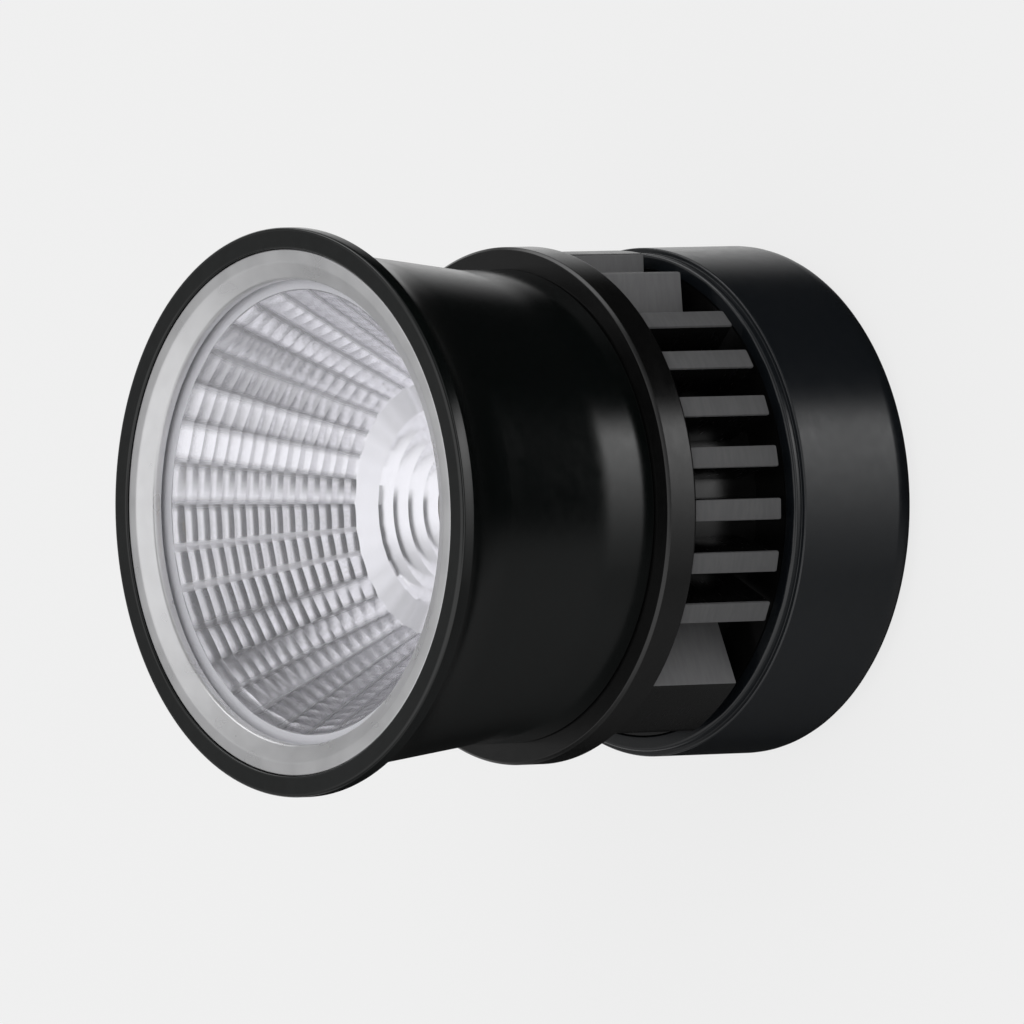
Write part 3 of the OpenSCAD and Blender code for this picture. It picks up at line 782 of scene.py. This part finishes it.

# Nearness to the line between two columns: 1 on a line of painted shade, -1 on a pale one
seamLayer = bm.verts.layers.float.new("seam")
paleMiddle, paleEnd, paintedShadeFrom = bowl["paleAt"]
for vert in bm.verts:
    azimuth = math.degrees(math.atan2(vert.co.y, vert.co.x))
    column = (azimuth - bowl["turn"]) * bowl["columns"] / 360
    full = min(max((abs(azimuth - paleMiddle) - paleEnd) / (paintedShadeFrom - paleEnd), 0.0), 1.0)
    vert[seamLayer] = abs(column % 1 - 0.5) * 2 * (full * 2 - 1)
reflectorBowl = newObject("reflectorBowl", meshFrom(bm, "reflectorBowl", 7))
finishPiece(reflectorBowl, reflectorSilver, "reflector_silver", "reflector")

# Heat sink: turned body, two pillars and the fins in their windows
body = {
    "plug": (20.7, 12.4, 14.05),               # radius, rear and front
    "core": 16.7,
    "ringBase": 25.7,
    "ringFront": 28.85,
    "ringRadius": 22.9,
    "spigot": (18.5, 30.9),                    # radius and front
    "edge": 0.1,
    "ringEdge": 0.25,
    "segments": 240,
}
plugRadius, plugRear, plugFront = body["plug"]
spigotRadius, spigotFront = body["spigot"]
bm = bmesh.new()
turnedMesh(bm, roundedRun([
    (0.0, plugRear, 0),
    (plugRadius, plugRear, body["edge"]),
    (plugRadius, plugFront, 0),
    (body["core"], plugFront, 0),
    (body["core"], body["ringBase"], 0),
    (body["ringRadius"], body["ringBase"], body["ringEdge"]),
    (body["ringRadius"], body["ringFront"] - body["ringEdge"], body["edge"]),
    (body["ringRadius"] - body["ringEdge"], body["ringFront"], body["edge"]),
    (spigotRadius, body["ringFront"], 0),
    (spigotRadius, spigotFront, body["edge"]),
    (0.0, spigotFront, 0),
]), body["segments"])
sinkBody = newObject("sinkBody", meshFrom(bm, "sinkBody", 25))
finishPiece(sinkBody, sinkBlack, "sink_black", "heat_sink")

pillars = {
    "turn": 9.7,
    "window": 112.0,
    "radius": 22.4,
    "base": 15.8,
    "top": 26.1,
    "flanks": (-6.0, 14.0),                    # degrees to the pillar's middle
    "flankLength": 8.6,
    "flat": 2.1,                               # depth
    "flatTurn": -9.7,                          # degrees to the pillar's middle
    "rib": 8.2,                                # width, on the +X pillar only
    "edge": 0.2,
    "arcSteps": 16,
}


def pillarArc(first, last):
    count = pillars["arcSteps"]
    spots = [first + (last - first) * i / count for i in range(count + 1)]
    return [Vector((math.cos(a), math.sin(a))) * pillars["radius"] for a in spots]


# Outline of the pillar on the +X side, with the first points of the sides that are bare grey
def pillarRun(ribbed):
    p = pillars
    half = math.radians(90 - p["window"] / 2)
    spin = math.radians(p["flatTurn"])
    ways = [Vector((math.cos(math.radians(a)), math.sin(math.radians(a)))) for a in p["flanks"]]
    along = Vector((math.cos(spin), math.sin(spin)))
    across = Vector((-along.y, along.x))
    deep = p["radius"] - p["flat"]
    corner = Vector((math.cos(half), -math.sin(half))) * p["radius"]
    foot = corner - ways[0] * (corner.dot(along) - deep) / ways[0].dot(along)
    ribHalf = math.asin(p["rib"] / 2 / p["radius"])
    run = [corner - ways[0] * p["flankLength"], foot]
    if ribbed:
        run.append(along * deep - across * p["rib"] / 2)
        run += pillarArc(spin - ribHalf, spin + ribHalf)
        run.append(along * deep + across * p["rib"] / 2)
    run += pillarArc(spin + math.acos(deep / p["radius"]), half)
    run.append(run[-1] - ways[1] * p["flankLength"])
    return run, (0, 2 if ribbed else 0, len(run) - 2)


bm = bmesh.new()
turnedLayer = bm.faces.layers.float.new("turned")
for side in (0, 180):
    spin = Matrix.Rotation(math.radians(pillars["turn"] + side), 2)
    run, bare = pillarRun(side == 0)
    lowRing = []
    highRing = []
    for point in run:
        x, y = spin @ point
        lowRing.append(bm.verts.new((x * mm, y * mm, pillars["base"] * mm)))
        highRing.append(bm.verts.new((x * mm, y * mm, pillars["top"] * mm)))
    for i in range(len(run)):
        k = (i + 1) % len(run)
        face = bm.faces.new((lowRing[i], lowRing[k], highRing[k], highRing[i]))
        face[turnedLayer] = 1.0 if i in bare else 0.0
    bm.faces.new(lowRing)
    bm.faces.new(highRing)
bmesh.ops.recalc_face_normals(bm, faces=bm.faces)
sharp = [e for e in bm.edges if e.calc_face_angle(0) > math.radians(40)]
bmesh.ops.bevel(bm, geom=sharp, offset=pillars["edge"] * mm, segments=2, profile=0.5, affect="EDGES")
sinkPillars = newObject("sinkPillars", meshFrom(bm, "sinkPillars", 30))
finishPiece(sinkPillars, pillarFinish, "sink_black", "heat_sink")

fins = {
    "count": 7,                                # in each window
    "pitch": 12.0,                             # degrees
    "thick": 1.9,
    "inner": 16.0,
    "outer": 22.45,
    "base": 15.8,
    "top": 26.0,
    "edge": 0.18,
}
bm = bmesh.new()
bmesh.ops.create_cube(bm, size=1.0)
finSize = Vector((fins["outer"] - fins["inner"], fins["thick"], fins["top"] - fins["base"]))
finMiddle = Vector((fins["outer"] + fins["inner"], 0, fins["top"] + fins["base"])) / 2
for v in bm.verts:
    v.co = (v.co * finSize + finMiddle) * mm
bmesh.ops.bevel(bm, geom=list(bm.edges), offset=fins["edge"] * mm, segments=2, profile=0.5, affect="EDGES")
finBlank = newObject("finBlank", meshFrom(bm, "finBlank", 30))

finTree, board, given = newTree("finRing", {
    "Fin": "NodeSocketObject",
    "Count": "NodeSocketInt",
    "Pitch": "NodeSocketFloat",
    "Turn": "NodeSocketFloat",
    "Material": "NodeSocketMaterial",
})
points = board.node("GeometryNodePoints", None, {"Count": given["Count"] * 2})
number = board.node("GeometryNodeInputIndex")
window = board.node("ShaderNodeMath", {"operation": "FLOOR"}, {0: number / given["Count"]})
inWindow = number - window * given["Count"] - (given["Count"] - 1) * 0.5
heading = given["Turn"] + window * math.pi + inWindow * given["Pitch"]
spin = board.node("ShaderNodeCombineXYZ", None, {"Z": heading})
blank = board.node("GeometryNodeObjectInfo", None, {"Object": given["Fin"]}, "Geometry")
standing = board.node("GeometryNodeInstanceOnPoints", None, {
    "Points": points,
    "Instance": blank,
    "Rotation": spin,
})
endTree(board, standing, given["Material"])
finMesh = grownMesh("sinkFins", finTree, {
    "Fin": finBlank,
    "Count": fins["count"],
    "Pitch": math.radians(fins["pitch"]),
    "Turn": math.radians(pillars["turn"] + 90),
    "Material": finFinish,
})
bpy.data.objects.remove(finBlank)
finishPiece(newObject("sinkFins", finMesh), finFinish, "sink_black", "heat_sink")

# Rear cap: a cup with a rounded rim, its screw holes and the cable hole
cap = {
    "radius": 22.6,
    "inner": 20.8,
    "floor": 2.0,
    "edge": 2.6,
    "lipBase": 13.25,
    "lipRadius": 22.15,
    "front": 14.05,
    "screwRing": 17.2,
    "headRadius": 3.05,
    "headDepth": (0.25, 1.65),                 # where the screw head's cone begins and ends
    "screwHole": 1.7,
    "inlet": (8.839, -8.839),
    "inletRadius": 3.6,
    "seatRadius": 5.15,
    "seatDepth": 0.8,
    "boreReach": (-1.0, 3.0),                  # past both faces of the floor
    "lipEdge": 0.45,
    "segments": 240,
    "boreSegments": 48,
}
bm = bmesh.new()
turnedMesh(bm, roundedRun([
    (0.0, 0.0, 0),
    (cap["radius"], 0.0, cap["edge"]),
    (cap["radius"], cap["lipBase"], 0.2),
    (cap["lipRadius"], cap["lipBase"], 0.05),
    (cap["lipRadius"], cap["front"], cap["lipEdge"]),
    (cap["inner"], cap["front"], 0.1),
    (cap["inner"], cap["floor"], 0.3),
    (0.0, cap["floor"], 0),
], True, 10), cap["segments"])
capShell = newObject("capShell", meshFrom(bm, "capShell", 25))
turn = math.radians(pillars["turn"])
boreRear, boreFront = cap["boreReach"]


# A stepped bore's run: wide from the rear face to wideEnd, narrow from narrowFrom on
def boreRun(wide, wideEnd, narrow, narrowFrom):
    return [(0, boreRear), (wide, boreRear), (wide, wideEnd),
            (narrow, narrowFrom), (narrow, boreFront), (0, boreFront)]


bores = []
for side in (1, -1):
    spot = (side * cap["screwRing"] * math.cos(turn), side * cap["screwRing"] * math.sin(turn))
    coneStart, coneEnd = cap["headDepth"]
    bores.append((spot, boreRun(cap["headRadius"], coneStart, cap["screwHole"], coneEnd)))
seatDepth = cap["seatDepth"]
bores.append((cap["inlet"], boreRun(cap["seatRadius"], seatDepth, cap["inletRadius"], seatDepth)))
bm = bmesh.new()
for (x, y), run in bores:
    one = bmesh.new()
    turnedMesh(one, run, cap["boreSegments"])
    bmesh.ops.translate(one, verts=one.verts, vec=(x * mm, y * mm, 0))
    bm.from_mesh(meshFrom(one, "bore"))
borer = newObject("borer", meshFrom(bm, "borer"))
drill = capShell.modifiers.new("drill", "BOOLEAN")
drill.object = borer
drill.operation = "DIFFERENCE"
drill.solver = "EXACT"
graph = bpy.context.evaluated_depsgraph_get()
drilled = bpy.data.meshes.new_from_object(capShell.evaluated_get(graph))
capShell.modifiers.remove(drill)
capShell.data = drilled
bpy.data.objects.remove(borer)
smoothShade(drilled, 25)
finishPiece(capShell, capBlack, "cap_black", "rear_cap")

# Finishes of the parts that keep their solid
coatedNodes = {                                # finish, two tones and the range of roughness
    "cob_holder": ("holderWhite", (0.78, 0.78, 0.76, 1), (0.84, 0.84, 0.82, 1), (0.35, 0.5)),
    "dam_ring": ("damWhite", (0.8, 0.79, 0.74, 1), (0.86, 0.85, 0.8, 1), (0.4, 0.5)),
    "phosphor_disc": ("phosphorYellow", (0.72, 0.5, 0.06, 1), (0.8, 0.6, 0.1, 1), (0.3, 0.45), 2500.0, 0.1),
    "thermal_pad": ("padGrey", (0.24, 0.28, 0.33, 1), (0.3, 0.34, 0.39, 1), (0.6, 0.8)),
    "lead_wire_positive": ("wireRed", (0.4, 0.015, 0.012, 1), (0.5, 0.025, 0.02, 1), (0.35, 0.45)),
    "lead_wire_negative": ("wireBlack", grey(0.01), grey(0.016), (0.35, 0.45)),
    "insulation_disc": ("insulationSheet", (0.74, 0.7, 0.58, 1), (0.8, 0.77, 0.66, 1), (0.45, 0.6)),
    "driver_board": ("boardGreen", (0.012, 0.11, 0.035, 1), (0.018, 0.16, 0.05, 1), (0.3, 0.42)),
    "transformer_core": ("ferrite", grey(0.025), grey(0.045), (0.5, 0.7)),
    "transformer_winding": ("windingAmber", (0.5, 0.24, 0.03, 1), (0.6, 0.32, 0.05, 1), (0.3, 0.45)),
    "input_capacitor": ("capacitorBlue", (0.012, 0.03, 0.1, 1), (0.02, 0.045, 0.14, 1), (0.3, 0.4)),
    "output_capacitor": ("capacitorBlack", grey(0.02), grey(0.03), (0.3, 0.4)),
    "bridge_rectifier": ("bridgeBlack", grey(0.016), grey(0.026), (0.45, 0.6)),
    "driver_chip": ("chipBlack", grey(0.014), grey(0.022), (0.45, 0.6)),
    "fuse_resistor": ("resistorGreen", (0.04, 0.18, 0.08, 1), (0.06, 0.24, 0.11, 1), (0.4, 0.55)),
    "film_capacitor": ("filmRed", (0.3, 0.025, 0.02, 1), (0.38, 0.04, 0.03, 1), (0.35, 0.5)),
    "cable_grommet": ("grommetRubber", grey(0.008), grey(0.014), (0.5, 0.65)),
}
metalNodes = {
    "holder_screws": ("screwSteel", grey(0.5), grey(0.62), (0.22, 0.34)),
    "cap_screws": ("capScrewSteel", grey(0.3), grey(0.4), (0.25, 0.38)),
    "led_board": ("boardMetal", grey(0.6), grey(0.7), (0.3, 0.42), (2400.0, 300.0, 300.0)),
}
keptFinishes = {name: coatedFinish(*given) for name, given in coatedNodes.items()}
keptFinishes.update({name: metalFinish(*given) for name, given in metalNodes.items()})
for name, finish in keptFinishes.items():
    nodes[name].data.materials.clear()
    nodes[name].data.materials.append(finish)
print("finishes set:", len(keptFinishes))
